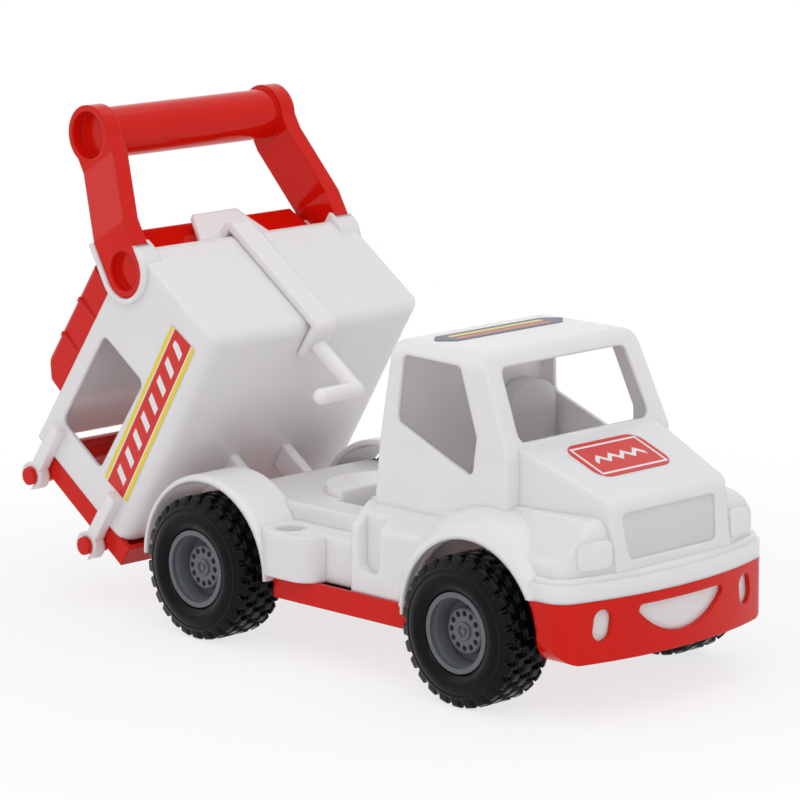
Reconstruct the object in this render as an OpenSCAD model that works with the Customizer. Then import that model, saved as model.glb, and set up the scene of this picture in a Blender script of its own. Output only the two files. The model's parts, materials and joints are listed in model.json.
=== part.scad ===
// Toy ambulance truck with a tipping rear body, carrying handle and drop-in tailgate.
// X points forward, Z up, the ground is Z = 0 and the origin is the middle of the footprint.
// Lengths along X are first measured from the rear axle; seat_on_origin() then shifts every piece.

/* [Wheels] */
// Tyre outside diameter over the lugs
tyre_d = 86; // [82:1:90]
// Tyre width
tyre_w = 38; // [32:1:40]
// Depth of the grooves between the tread lugs
tread_depth = 3.6; // [2:0.2:4.4]
// Number of lugs round the tread
tread_lugs = 26; // [18:1:34]
// Rim diameter where the tyre sits
rim_d = 46; // [42:1:50]
// Number of round holes in the hub face
hub_holes = 12; // [6:1:14]
// Axle rod diameter
axle_d = 5; // [4:0.5:6]
// Distance between the axles
wheelbase = 215; // [205:1:230]
// Width over the outer tyre faces
overall_w = 200; // [190:1:212]
// Gap between each inner tyre face and the tray
tyre_gap = 4; // [3:0.5:6]

/* [Chassis tray] */
// Step in of each sill from the outer tyre face
sill_in = 17; // [15:0.5:20]
// Step in of each bumper end from the outer tyre face
bumper_in = 14; // [12:0.5:18]
// Height of the underside over the ground
ground_gap = 33; // [30:1:36]
// Height of the tray walls
tray_h = 14; // [12:1:16]
// Wall thickness of the tray and bumper
tray_wall = 2.6; // [2:0.2:3.2]
// Tray length behind the rear axle
rear_overhang = 46; // [44:1:56]
// Bumper reach ahead of the front axle
front_overhang = 82; // [80:1:92]
// Bumper height
bumper_h = 35; // [32:1:38]
// Plan radius of the bowed bumper front
bumper_bow = 250; // [220:5:400]

/* [Cab and body] */
// Step in of each door skin from the outer tyre face
door_in = 19; // [17:0.5:22]
// Step in of each wheel arch from the outer tyre face
arch_in = 10; // [8:0.5:12]
// Step in of the cab side from the door skin
cab_in = 14; // [10:0.5:18]
// Step in of the roof edge from the cab side
roof_in = 5; // [3:0.5:8]
// Distance from the rear wall of the cab to the front axle
cab_l = 99; // [94:1:104]
// Wall thickness of the white body
body_wall = 2.6; // [2:0.2:3.2]
// Height of the cab roof over the ground
roof_z = 193; // [186:1:200]
// Height of the rear deck over the ground
deck_z = 84; // [82:1:86]
// Gap between tyre and wheel arch
arch_gap = 8; // [7:0.5:10]
// Diameter of the round cup recess in each side tank
cup_d = 18; // [14:1:18]

/* [Tipping body] */
// Step in of each box side from the outer tyre face
bed_in = 14; // [12:0.5:18]
// Length of the white box
bed_l = 157; // [150:1:162]
// Height of the white box at the front
bed_h = 86; // [80:1:92]
// Wall thickness of the white box
bed_wall = 2.8; // [2.2:0.2:3.4]
// How much deeper the box is at the rear than at the front
bed_drop = 8; // [4:1:10]
// Tipping angle in the raised position
tip_angle = 55; // [45:1:56]
// Height of the lowered box floor over the ground at its front
bed_floor_z = 105; // [104:1:110]
// Diameter of the hinge rod
hinge_d = 6; // [5:0.5:8]
// Height of the red roof over the white box
roof_h = 26; // [20:1:30]
// Thickness of the tailgate
gate_t = 14; // [12:1:16]
// Diameter of the tailgate pins
gate_pin_d = 11; // [9:0.5:12]

/* [Handle] */
// Step in of each grip end from the box side
grip_in = 9.5; // [6:0.5:12]
// Distance from the arm seat to the grip axis
arm_l = 88; // [76:1:92]
// Lean of the arms over the box, upwards from forward
arm_angle = 65; // [60:1:70]
// Arm width
arm_w = 32; // [28:1:34]
// Arm thickness
arm_t = 11; // [9:1:12]
// Grip diameter
grip_d = 31; // [26:1:34]

/* [Clearances] */
// Radial running clearance of rods in their bearings
run_fit = 0.08; // [0.05:0.01:0.1]
// Gap between pieces that are assembled face to face
seat_gap = 0.3; // [0.2:0.05:0.5]

/* [Hidden] */
$fn = 64;

RED = "#c81e14";
WHITE = "#f2f2f0";
BLACK = "#1a1a18";
GREY = "#66686c";
STEEL = "#b4b6ba";
SLATE = "#3a4254";

// Wheels
tyre_r = tyre_d / 2;
axle_z = tyre_r;
rim_r = rim_d / 2;
bead_r = rim_r + run_fit / 2;
wheel_y = overall_w / 2;
hub_depth = 10;
lip_depth = 3;

// Widths that follow the track
tray_w = overall_w - 2 * (tyre_w + tyre_gap);
sill_w = overall_w - 2 * sill_in;
bumper_w = overall_w - 2 * bumper_in;
door_w = overall_w - 2 * door_in;
arch_w = overall_w - 2 * arch_in;
bed_w = overall_w - 2 * bed_in;
cab_w = door_w - 2 * cab_in;
roof_w = cab_w - 2 * roof_in;
grip_w = bed_w - 2 * grip_in;

// Tray and bumper
floor_top = ground_gap + tray_wall;
sill_z = ground_gap + tray_h;
bumper_z = ground_gap + bumper_h;
front_x = wheelbase + front_overhang;
arch_r = tyre_r + arch_gap;
bumper_rear_x = wheelbase + arch_r - 6;
corner_r = 15;
corner_y = bumper_w / 2 - corner_r;
corner_x = front_x - bumper_bow + sqrt(pow(bumper_bow - corner_r, 2) - pow(corner_y, 2));
sill_x0 = arch_r + 2;
sill_x1 = wheelbase - arch_r - 2;

// Body
lip_z = bumper_z + 13;
cab_rear_x = wheelbase - cab_l;
cab_rear_lean = 16;
roof_front_x = wheelbase - 14;
screen_foot_x = wheelbase + 7;
screen_foot_z = roof_z - 50;
hood_front_x = front_x - 13;
hood_front_z = screen_foot_z - 24;
nose_x = front_x - 7;
waist_z = 110;
wing_in = 5;
lamp_y = bumper_w / 2 - 37;
lamp_w = 22;
lamp_z = 84;
lamp_h = 16;
flare_z = 98;
tank_z = 74;
tank_x0 = sill_x0 - 11;
tank_x1 = tank_x0 + 48;
tank_r = 15;
cup_x = tank_x0 + 17;
cup_y = arch_w / 2 - 15;
step_x = cab_rear_x + 6;
step_w = 17;
deck_rear_x = -12;
rear_arch_r = arch_r + 3.6;

// Tipping body: its own frame has X forward and Z up from the lower front edge of the box
hinge_x = -26;
hinge_z = 68.3;
lowered_front_x = 82;
hinge_bx = hinge_x - lowered_front_x;
hinge_bz = hinge_z - bed_floor_z;
bed_half = bed_w / 2;
gate_x = -bed_l - seat_gap;
gate_pin_x = gate_x - gate_t - 4.5;
gate_pin_z = [bed_h - 14, 10];
clip_t = 7;
pivot_x = -16;
pivot_z = bed_h - 5;
pocket_r = arm_w / 2 + seat_gap + 0.2;
pocket_in = bed_half + 2 - arm_t;
arm_out = bed_half + 2;
crease_l = 26;
hook_l = 46;
hook_reach = 28;
eye_r = arm_w / 2 + 2;
stub_r = 8;
stub_in = pocket_in - bed_wall - 3;
roof_rear_x = 33 - bed_l;
notch_x = pivot_x - arm_w / 2 - 8;
rib_shares = [30 / 84, 58 / 84];

function tip(p) = [
    hinge_x + (p[0] - hinge_bx) * cos(tip_angle) - (p[1] - hinge_bz) * sin(tip_angle),
    hinge_z + (p[0] - hinge_bx) * sin(tip_angle) + (p[1] - hinge_bz) * cos(tip_angle)
];
clip_r = gate_pin_d / 2 + 3.2;
rearmost_x = tip([gate_pin_x, gate_pin_z[0]])[0] - clip_r;
origin_x = (rearmost_x + front_x) / 2;

// Placing
module seat_on_origin() {
    translate([-origin_x, 0, 0]) children();
}

module on_bed() {
    seat_on_origin()
        translate([hinge_x, 0, hinge_z])
            rotate([0, -tip_angle, 0])
                translate([-hinge_bx, 0, -hinge_bz]) children();
}

// Children drawn in the XZ plane, made solid from y0 to y1
module across(y0, y1) {
    translate([0, y1, 0]) rotate([90, 0, 0]) linear_extrude(y1 - y0) children();
}

// Children drawn in the YZ plane, made solid from x0 to x1
module along(x0, x1) {
    translate([x0, 0, 0]) rotate([90, 0, 90]) linear_extrude(x1 - x0) children();
}

module both_sides() {
    children();
    mirror([0, 1, 0]) children();
}

module rounded_rect(x0, y0, x1, y1, r) {
    translate([x0 + r, y0]) square([x1 - x0 - 2 * r, y1 - y0]);
    translate([x0, y0 + r]) square([x1 - x0, y1 - y0 - 2 * r]);
    for (x = [x0 + r, x1 - r], y = [y0 + r, y1 - r]) translate([x, y]) circle(r);
}

// A bar with round ends from the origin along +X
module stadium(l, r) {
    circle(r);
    translate([l, 0]) circle(r);
    translate([0, -r]) square([l, 2 * r]);
}

// A polygon with one radius on every corner that turns outwards
module soft_polygon(points, r) {
    n = len(points);
    polygon([
        for (i = [0 : n - 1]) each corner_arc(points[(i + n - 1) % n], points[i], points[(i + 1) % n], r)
    ]);
}

function corner_arc(a, b, c, r, steps = 5) =
    let (
        u = (a - b) / norm(a - b),
        v = (c - b) / norm(c - b),
        half = acos(u * v) / 2,
        turn = u[0] * v[1] - u[1] * v[0],
        reach = r / tan(half),
        mid = b + (u + v) / norm(u + v) * r / sin(half),
        start = b + u * reach - mid,
        sweep = (turn > 0 ? -1 : 1) * (180 - 2 * half)
    )
    [for (k = [0 : steps]) let (t = sweep * k / steps)
        mid + [start[0] * cos(t) - start[1] * sin(t), start[0] * sin(t) + start[1] * cos(t)]];

// Wheels, drawn with the outer face at z = 0 and the axle along Z
module place_wheel(x, side) {
    seat_on_origin()
        translate([x, side * wheel_y, axle_z])
            rotate([-90 * side, 0, 0]) children();
}

module lug_ring(z0, z1, phase) {
    gap = 3.4;
    translate([0, 0, z0]) linear_extrude(z1 - z0) difference() {
        circle(tyre_r);
        circle(rim_r + 6);
        for (i = [0 : tread_lugs - 1])
            rotate((i + phase) * 360 / tread_lugs)
                translate([tyre_r - tread_depth, -gap / 2]) square([2 * tread_depth, gap]);
    }
}

module tyre_form() {
    base = tyre_r - tread_depth + 0.4;
    row = (tyre_w - 5) / 3;
    rotate_extrude() polygon([
        [bead_r, -lip_depth - 1], [rim_r + 4, -1.2], [rim_r + 10, 0], [base - 3, -0.6], [base, -3],
        [base, 3 - tyre_w], [base - 3, 0.6 - tyre_w], [rim_r + 10, -tyre_w], [rim_r + 4, 1.2 - tyre_w],
        [bead_r, lip_depth + 1 - tyre_w]
    ]);
    lug_ring(-2.5 - row + 1.6, -2.5, 0);
    lug_ring(-2.5 - 2 * row + 0.8, -2.5 - row - 0.8, 0.5);
    lug_ring(2.5 - tyre_w, 2.5 - tyre_w + row - 1.6, 0);
}

module rim_form() {
    back = tyre_w - lip_depth;
    hub_r = rim_r * 0.58;
    difference() {
        rotate_extrude() polygon([
            [0, -hub_depth], [hub_r - 1, -hub_depth], [hub_r, -hub_depth - 1], [hub_r, -hub_depth - 6],
            [rim_r - 5.4, -hub_depth - 6], [rim_r - 4, -hub_depth + 2], [rim_r - 3, -lip_depth - 2.4],
            [rim_r - 3, -lip_depth], [rim_r, -lip_depth], [rim_r, -back],
            [rim_r - 3, -back], [rim_r - 4, -hub_depth - 9], [8, -hub_depth - 9],
            [7.4, -tyre_w + 1.5], [0, -tyre_w + 1.5]
        ]);
        translate([0, 0, -tyre_w]) cylinder(h = tyre_w - hub_depth - 3, d = axle_d);
        for (i = [0 : hub_holes - 1])
            rotate(i * 360 / hub_holes)
                translate([hub_r - 3.4, 0, -hub_depth - 3.5]) cylinder(h = 5, r = 1.7, $fn = 24);
    }
    translate([0, 0, -hub_depth - 1]) difference() {
        cylinder(h = 2.2, r = 5);
        translate([0, 0, 1.2]) cylinder(h = 2, r = 3.6);
    }
    translate([0, 0, -hub_depth - 1]) cylinder(h = 2.2, r = 1.8, $fn = 6);
}

module axle_form(x) {
    half = wheel_y - hub_depth - 4;
    color(STEEL) seat_on_origin()
        translate([x, -half, axle_z]) rotate([-90, 0, 0]) cylinder(h = 2 * half, d = axle_d);
}

module tyre(x, side) {
    color(BLACK) place_wheel(x, side) tyre_form();
}

module rim(x, side) {
    color(GREY) place_wheel(x, side) rim_form();
}

module front_axle() { axle_form(wheelbase); }
module rear_axle() { axle_form(0); }
module tyre_front_right() { tyre(wheelbase, -1); }
module tyre_front_left() { tyre(wheelbase, 1); }
module tyre_rear_right() { tyre(0, -1); }
module tyre_rear_left() { tyre(0, 1); }
module rim_front_right() { rim(wheelbase, -1); }
module rim_front_left() { rim(wheelbase, 1); }
module rim_rear_right() { rim(0, -1); }
module rim_rear_left() { rim(0, 1); }

// Chassis tray and bumper, in plan
module bumper_plan(inset) {
    touch_y = corner_y * (bumper_bow - inset) / (bumper_bow - corner_r);
    intersection() {
        translate([front_x - bumper_bow, 0]) circle(bumper_bow - inset, $fn = 180);
        translate([bumper_rear_x + inset, -touch_y]) square([bumper_w, 2 * touch_y]);
    }
    for (y = [-corner_y, corner_y]) translate([corner_x, y]) circle(corner_r - inset);
    translate([bumper_rear_x + inset, inset - bumper_w / 2])
        square([corner_x - bumper_rear_x - inset, bumper_w - 2 * inset]);
}

module tray_plan(inset) {
    translate([-rear_overhang + inset, -tray_w / 2 + inset])
        square([rear_overhang + bumper_rear_x + 4 - 2 * inset, tray_w - 2 * inset]);
    translate([sill_x0 + inset, -sill_w / 2 + inset])
        square([sill_x1 - sill_x0 - 2 * inset, sill_w - 2 * inset]);
}

// Fog lamp and grin cut-outs, seen from the front
module bumper_cutouts() {
    fog_y = bumper_w / 2 - 27;
    fog_z = ground_gap + 21;
    for (s = [-1, 1])
        translate([s * fog_y, fog_z]) rotate(90 + s * 8) translate([-3, 0]) stadium(6, 6);
    grin_r = 47;
    grin_half = bumper_w / 5;
    grin_z = bumper_z - 6;
    intersection() {
        translate([0, grin_z + 28]) circle(grin_r, $fn = 96);
        rounded_rect(-grin_half, ground_gap + 6, grin_half, grin_z, 3);
    }
}

module axle_bearing(x) {
    block = [axle_d + 11, 6];
    for (s = [-1, 1])
        translate([
            x - block[0] / 2,
            s * (tray_w / 2 - body_wall - seat_gap - block[1] / 2) - block[1] / 2,
            ground_gap + 1
        ])
            cube([block[0], block[1], axle_z + axle_d / 2 + 3 - ground_gap - 1]);
}

module hinge_bracket() {
    bracket_r = hinge_d / 2 + 5;
    for (s = [-1, 1]) across(s * 14 - 3, s * 14 + 3) {
        translate([hinge_x, hinge_z]) circle(bracket_r);
        translate([hinge_x - bracket_r, floor_top - 1])
            square([2 * bracket_r, hinge_z - floor_top + 1]);
    }
}

// Screws with recessed heads: two hold the deck, two hold the driver's bench
deck_screw = [40, tray_w / 2 - 18];
bench_screw = [cab_rear_x + 35, cab_w / 2 - 33];
screw_d = 3.4;
head_d = 7;
head_h = 2;
boss_d = 12;
boss_h = 6;
post_d = 9;
post_z = ground_gap + boss_h + seat_gap;

module at_screws() {
    for (p = [deck_screw, bench_screw]) both_sides() translate([p[0], p[1], ground_gap]) children();
}

// Post that stands on a tray boss, up to height z, bored for a screw
module screw_post(spot, z) {
    both_sides() translate([spot[0], spot[1], post_z]) difference() {
        cylinder(h = z - post_z, d = post_d);
        translate([0, 0, -1]) cylinder(h = 12, d = screw_d + 2 * run_fit);
    }
}

// Bumper block with rounded lower corners, open above
module bumper_volume(inset) {
    base = ground_gap + inset;
    intersection() {
        translate([0, 0, base]) linear_extrude(bumper_z - base + (inset > 0 ? 1 : 0)) bumper_plan(inset);
        along(0, 2 * front_x) rounded_rect(
            inset - bumper_w / 2, base, bumper_w / 2 - inset, base + 3 * bumper_h, 14 - inset
        );
    }
}

module wheel_space(x) {
    both_sides() across(tray_w / 2, overall_w) translate([x, axle_z]) circle(arch_r, $fn = 96);
}

module chassis() {
    color(RED) seat_on_origin() difference() {
        union() {
            difference() {
                translate([0, 0, ground_gap]) linear_extrude(tray_h) tray_plan(0);
                translate([0, 0, floor_top]) linear_extrude(tray_h) tray_plan(tray_wall);
            }
            difference() {
                bumper_volume(0);
                bumper_volume(tray_wall);
                wheel_space(wheelbase);
            }
            axle_bearing(0);
            axle_bearing(wheelbase);
            hinge_bracket();
            at_screws() cylinder(h = boss_h, d = boss_d);
        }
        for (x = [0, wheelbase])
            translate([x, -tray_w, axle_z]) rotate([-90, 0, 0])
                cylinder(h = 2 * tray_w, r = axle_d / 2 + run_fit);
        translate([hinge_x, -tray_w, hinge_z]) rotate([-90, 0, 0]) cylinder(h = 2 * tray_w, d = hinge_d);
        along(front_x - 45, front_x + 5) bumper_cutouts();
        at_screws() {
            translate([0, 0, -1]) cylinder(h = boss_h + 2, d = screw_d + 2 * seat_gap);
            translate([0, 0, -1]) cylinder(h = head_h + 1 + seat_gap, d = head_d + 2 * seat_gap);
        }
    }
}

module hinge_rod() {
    half = 30;
    color(STEEL) seat_on_origin()
        translate([hinge_x, -half, hinge_z]) rotate([-90, 0, 0]) cylinder(h = 2 * half, d = hinge_d);
}

module chassis_screws() {
    color(STEEL) seat_on_origin() at_screws() translate([0, 0, seat_gap]) {
        cylinder(h = head_h, d = head_d);
        cylinder(h = boss_h + 9, d = screw_d);
    }
}

// White body: outer forms with inset 0, the hollow with inset body_wall
module deck_volume(inset) {
    drop = inset > 0 ? 1 : 0;
    translate([deck_rear_x + inset, -tray_w / 2 + inset, sill_z - drop])
        cube([wheelbase - deck_rear_x, tray_w - 2 * inset, deck_z - inset - sill_z + drop]);
}

// Rounded side tanks behind the cab, and the set-back wall that joins each to the door
module tank_volume(inset) {
    drop = inset > 0 ? 1 : 0;
    link_y = arch_w / 2 - 14 - inset;
    both_sides() translate([0, 0, sill_z - drop]) linear_extrude(tank_z - inset - sill_z + drop) {
        rounded_rect(tank_x0 + inset, 0, tank_x1 - inset, arch_w / 2 - inset, tank_r - inset);
        translate([tank_x0 + tank_r, 0]) square([cab_rear_x + 8 - tank_x0 - tank_r - inset, link_y]);
    }
}

module door_volume(inset) {
    drop = inset > 0 ? 1 : 0;
    w = door_w / 2 - inset;
    along(cab_rear_x + inset, wheelbase + 10) union() {
        translate([-w, sill_z - drop]) square([2 * w, flare_z / 4]);
        soft_polygon([
            [-w, sill_z], [w, sill_z], [w, flare_z - 12], [cab_w / 2 - inset, flare_z],
            [inset - cab_w / 2, flare_z], [-w, flare_z - 12]
        ], 7);
    }
}

module cab_volume(inset) {
    top = roof_z - inset;
    intersection() {
        across(-wheelbase, wheelbase) soft_polygon([
            [cab_rear_x + inset, sill_z - 1],
            [cab_rear_x + cab_rear_lean + inset, top],
            [roof_front_x - inset, top],
            [screen_foot_x + 3 - inset, screen_foot_z - 4],
            [screen_foot_x + 3 - inset, sill_z - 1]
        ], 7);
        along(0, front_x) soft_polygon([
            [cab_w / 2 - inset, sill_z - 1], [cab_w / 2 - inset, waist_z + 22],
            [roof_w / 2 - inset, top], [inset - roof_w / 2, top],
            [inset - cab_w / 2, waist_z + 22], [inset - cab_w / 2, sill_z - 1]
        ], 10);
    }
}

module hood_volume(inset) {
    intersection() {
        across(-wheelbase, wheelbase) soft_polygon([
            [screen_foot_x - 30, bumper_z], [screen_foot_x - 30, screen_foot_z - inset + 12],
            [screen_foot_x, screen_foot_z - inset], [hood_front_x - inset, hood_front_z - inset],
            [nose_x - inset, lip_z], [nose_x - inset, bumper_z]
        ], 6);
        translate([0, 0, bumper_z]) linear_extrude(roof_z) polygon([
            [screen_foot_x - 30, inset - roof_w / 2], [nose_x + 5, inset - roof_w / 2 + 16],
            [nose_x + 5, roof_w / 2 - 16 - inset], [screen_foot_x - 30, roof_w / 2 - inset]
        ]);
    }
}

// Front wings round the nose, following the bumper in plan
module wing_volume(inset) {
    intersection() {
        across(-wheelbase, wheelbase) soft_polygon([
            [wheelbase - 50 + inset, bumper_z], [wheelbase - 30 + inset, waist_z - inset],
            [hood_front_x - 3 - inset, waist_z - inset], [nose_x - 1 - inset, lip_z],
            [nose_x - 1 - inset, bumper_z]
        ], 8);
        translate([0, 0, bumper_z]) linear_extrude(roof_z) {
            bumper_plan(wing_in + inset);
            translate([wheelbase - 60, wing_in + inset - bumper_w / 2])
                square([corner_x - wheelbase + 60, bumper_w - 2 * (wing_in + inset)]);
        }
        along(0, 2 * front_x) soft_polygon([
            [inset - door_w / 2, 0], [door_w / 2 - inset, 0], [door_w / 2 - inset, lip_z + 8],
            [roof_w / 2 - 4, waist_z + 2 - inset], [4 - roof_w / 2, waist_z + 2 - inset],
            [inset - door_w / 2, lip_z + 8]
        ], 9);
    }
}

// Lamp pads that stand a little proud of the wings
module lamps() {
    intersection() {
        translate([0, 0, lamp_z]) linear_extrude(lamp_h) difference() {
            bumper_plan(wing_in - 1);
            bumper_plan(wing_in + 2);
        }
        both_sides() along(wheelbase, 2 * front_x)
            rounded_rect(lamp_y, lamp_z, lamp_y + lamp_w, lamp_z + lamp_h, 4);
    }
}

// Back wall of the foot hold in each door, and the hold itself
module step_pad() {
    intersection() {
        door_volume(0);
        both_sides() across(door_w / 2 - 10, door_w / 2)
            rounded_rect(step_x - 3, flare_z - 42, step_x + step_w + 3, 2 * flare_z, 6);
    }
}

module step_cut() {
    both_sides() across(door_w / 2 - 7, door_w)
        rounded_rect(step_x, flare_z - 39, step_x + step_w, 2 * flare_z, 6);
}

module body_volume(inset) {
    deck_volume(inset);
    tank_volume(inset);
    door_volume(inset);
    cab_volume(inset);
    hood_volume(inset);
    wing_volume(inset);
}

// Half turn of a drawing (radius, distance from the middle) over each wheel of an axle
module over_wheels(x) {
    both_sides() translate([x, 0, axle_z]) rotate([90, 0, 0]) rotate_extrude(angle = 180, $fn = 96) children();
}

// Broad band over the rear wheels
module rear_arch() {
    over_wheels(0) polygon([
        [arch_r, tray_w / 2 - body_wall], [rear_arch_r, tray_w / 2 - body_wall], [rear_arch_r, arch_w / 2 - 3],
        [rear_arch_r - 1.4, arch_w / 2], [arch_r, arch_w / 2]
    ]);
}

// Swelling fender over the front wheels: one wall that runs from the hood side down to the arch lip
module front_arch() {
    lip_y = arch_w / 2 - 2;
    rise = [[2, 0], [5, 2], [9, 6], [12.5, 12], [15, 20], [16, 28]];
    outer = [for (p = rise) [arch_r + p[0], lip_y - p[1]]];
    inner = [for (i = [len(rise) - 1 : -1 : 0]) [
        max(arch_r, arch_r + rise[i][0] - body_wall), lip_y - rise[i][1] - body_wall
    ]];
    over_wheels(wheelbase) polygon(concat([[arch_r, lip_y]], outer, inner));
}

// Room of the tray and its sills between the axles
module sill_space() {
    translate([sill_x0 - seat_gap, -overall_w, 0])
        cube([sill_x1 - sill_x0 + 2 * seat_gap, 2 * overall_w, sill_z]);
    translate([0, -tray_w / 2 - seat_gap, 0]) cube([wheelbase, tray_w + 2 * seat_gap, sill_z]);
}

module side_window() {
    soft_polygon([
        [cab_rear_x + 22, roof_z - 46], [cab_rear_x + 24, roof_z - 8], [roof_front_x - 16, roof_z - 9],
        [roof_front_x, roof_z - 47], [roof_front_x - 2, roof_z - 70]
    ], 4);
}

module windscreen() {
    foot = cab_w / 2 - 13;
    head = roof_w / 2 - 11;
    soft_polygon([
        [-foot, screen_foot_z + 1], [foot, screen_foot_z + 1], [head, roof_z - 9], [-head, roof_z - 9]
    ], 5);
}

module body_shell() {
    color(WHITE) seat_on_origin() difference() {
        union() {
            difference() {
                body_volume(0);
                body_volume(body_wall);
                wheel_space(0);
                wheel_space(wheelbase);
            }
            difference() {
                rear_arch();
                sill_space();
            }
            difference() {
                front_arch();
                body_volume(body_wall);
                sill_space();
                translate([wheelbase, -overall_w, 0]) cube([overall_w, 2 * overall_w, bumper_z]);
            }
            translate([0, 0, bumper_z]) linear_extrude(lip_z - 3 - bumper_z) difference() {
                bumper_plan(0);
                bumper_plan(12);
            }
            translate([0, 0, bumper_z]) linear_extrude(lip_z - bumper_z) difference() {
                bumper_plan(2);
                bumper_plan(12);
            }
            lamps();
            step_pad();
            bumper_skirt();
            screw_post(deck_screw, deck_z - 1);
            tongue();
            cup_walls();
            hook_well(body_wall);
        }
        along(roof_front_x - 10, front_x) windscreen();
        across(-wheelbase, wheelbase) side_window();
        both_sides() translate([cup_x, cup_y, tank_z - 16]) cylinder(h = 20, d = cup_d);
        hook_well(0);
        grille_pocket();
        step_cut();
    }
}

// Wall of the body that fills the bumper's cut-outs from behind
module bumper_skirt() {
    gap = tray_wall + seat_gap;
    intersection() {
        difference() {
            bumper_volume(gap);
            bumper_volume(gap + body_wall);
        }
        translate([bumper_rear_x + 8, -bumper_w, ground_gap + gap + body_wall])
            cube([front_x, 2 * bumper_w, bumper_h]);
    }
}

module tongue() {
    half = 32;
    translate([0, 0, deck_z - body_wall]) linear_extrude(body_wall + 5) {
        translate([24 + half, -half]) square([cab_rear_x - 22 - half, 2 * half]);
        translate([24 + half, 0]) circle(half);
    }
}

module cup_walls() {
    both_sides() translate([cup_x, cup_y, tank_z - 18])
        cylinder(h = 18 - 1, d = cup_d + 2 * body_wall);
}

// Well in the tongue for the hook of the lowered tipping body
module hook_well(wall) {
    low = bed_floor_z - hook_l - 9;
    translate([lowered_front_x - 24 - wall, -hook_reach - 9 - wall, low - wall])
        cube([24 + 2 * wall, hook_reach + 17 + 2 * wall, deck_z + (wall > 0 ? 0 : 9) - low + wall]);
}

function nose_at(z) = hood_front_x + (hood_front_z - z) * (nose_x - hood_front_x) / (hood_front_z - lip_z);

// Shallow recess in the sloping nose
module grille_pocket() {
    z0 = lip_z + 5;
    z1 = hood_front_z - 7;
    foot = roof_w / 2 - 26;
    head = roof_w / 2 - 23;
    depth = 1.8;
    intersection() {
        across(-wheelbase, wheelbase) polygon([
            [nose_at(z0) - depth, z0], [front_x, z0], [front_x, z1], [nose_at(z1) - depth, z1]
        ]);
        along(wheelbase, 2 * front_x) soft_polygon([[-foot, z0], [foot, z0], [head, z1], [-head, z1]], 4);
    }
}

// Bench ahead of the cab's rear wall, with a rounded back rest for the driver on the left
module seat() {
    back_x = cab_rear_x + cab_rear_lean + 2;
    bench = [34, cab_w - 38, 60];
    rest_t = 10;
    rest_y = cab_w * 0.3;
    rest_half = cab_w * 0.14;
    rest_z = screen_foot_z + 13;
    color(WHITE) seat_on_origin() {
        difference() {
            translate([back_x, -bench[1] / 2, floor_top]) cube(bench);
            translate([back_x + body_wall, body_wall - bench[1] / 2, floor_top - 1])
                cube([bench[0] - 2 * body_wall, bench[1] - 2 * body_wall, bench[2] + 1 - body_wall]);
        }
        along(back_x, back_x + rest_t) soft_polygon([
            [rest_y - rest_half, floor_top + bench[2] - body_wall],
            [rest_y + rest_half, floor_top + bench[2] - body_wall],
            [rest_y + rest_half, rest_z], [rest_y - rest_half, rest_z]
        ], rest_half * 0.7);
        screw_post(bench_screw, floor_top + bench[2] - 1);
    }
}

// Tipping body
module bed_volume(inset) {
    past = inset > 0 ? 1 : 0;
    slope = atan(bed_drop / bed_l);
    intersection() {
        across(inset - bed_half, bed_half - inset) soft_polygon([
            [-inset, inset], [-inset, bed_h - inset],
            [-bed_l - 20, bed_h - inset], [-bed_l - 20, inset - bed_drop * (bed_l + 20) / bed_l]
        ], 8 - inset);
        rotate([0, -slope, 0]) along(-2 * bed_l, bed_l) soft_polygon([
            [bed_half - inset, inset], [bed_half - inset, 2 * bed_h],
            [inset - bed_half, 2 * bed_h], [inset - bed_half, inset]
        ], 9 - inset);
        translate([-bed_l - past, -bed_w, -bed_h]) cube([2 * bed_l, 2 * bed_w, 3 * bed_h]);
    }
}

// Frame at the handle seat: X runs along the arm
module at_seat() {
    translate([pivot_x, pivot_z]) rotate(arm_angle) children();
}

module socket_outline() {
    intersection() {
        at_seat() circle(pocket_r + 3);
        union() {
            translate([-bed_l, 0]) square([bed_l + 3, bed_h]);
            translate([pivot_x - 2 * arm_w, 0]) square([2 * arm_w, 2 * bed_h]);
        }
    }
    at_seat() translate([0, pocket_r]) square([crease_l, 3]);
}

// Clips that hold the tailgate pins: closed round the upper pin, open to the rear below
module clip_outline() {
    bore = gate_pin_d / 2 + run_fit;
    swing = gate_pin_z[0] - gate_pin_z[1];
    for (z = gate_pin_z) difference() {
        union() {
            translate([gate_pin_x, z]) circle(clip_r);
            translate([gate_pin_x, z - 4]) square([-bed_l + 22 - gate_pin_x, 8]);
        }
        translate([gate_pin_x, z]) circle(bore);
        if (z == gate_pin_z[0])
            translate([gate_pin_x - 20, z - bore + 1]) square([20, 2 * bore - 2]);
        else
            translate([gate_pin_x, gate_pin_z[0]]) intersection() {
                difference() {
                    circle(swing + bore + seat_gap, $fn = 120);
                    circle(swing - bore - seat_gap, $fn = 120);
                }
                translate([-clip_r - 5, -2 * swing]) square([clip_r + 5, 2 * swing]);
            }
    }
}

module hinge_lugs() {
    lug_r = hinge_d / 2 + 5;
    for (s = [-1, 1]) across(s * 22 - 3.5, s * 22 + 3.5) difference() {
        union() {
            translate([hinge_bx, hinge_bz]) circle(lug_r);
            translate([hinge_bx - lug_r, hinge_bz]) square([2 * lug_r, -hinge_bz - 1]);
        }
        translate([hinge_bx, hinge_bz]) circle(hinge_d / 2 + run_fit);
    }
}

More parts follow.
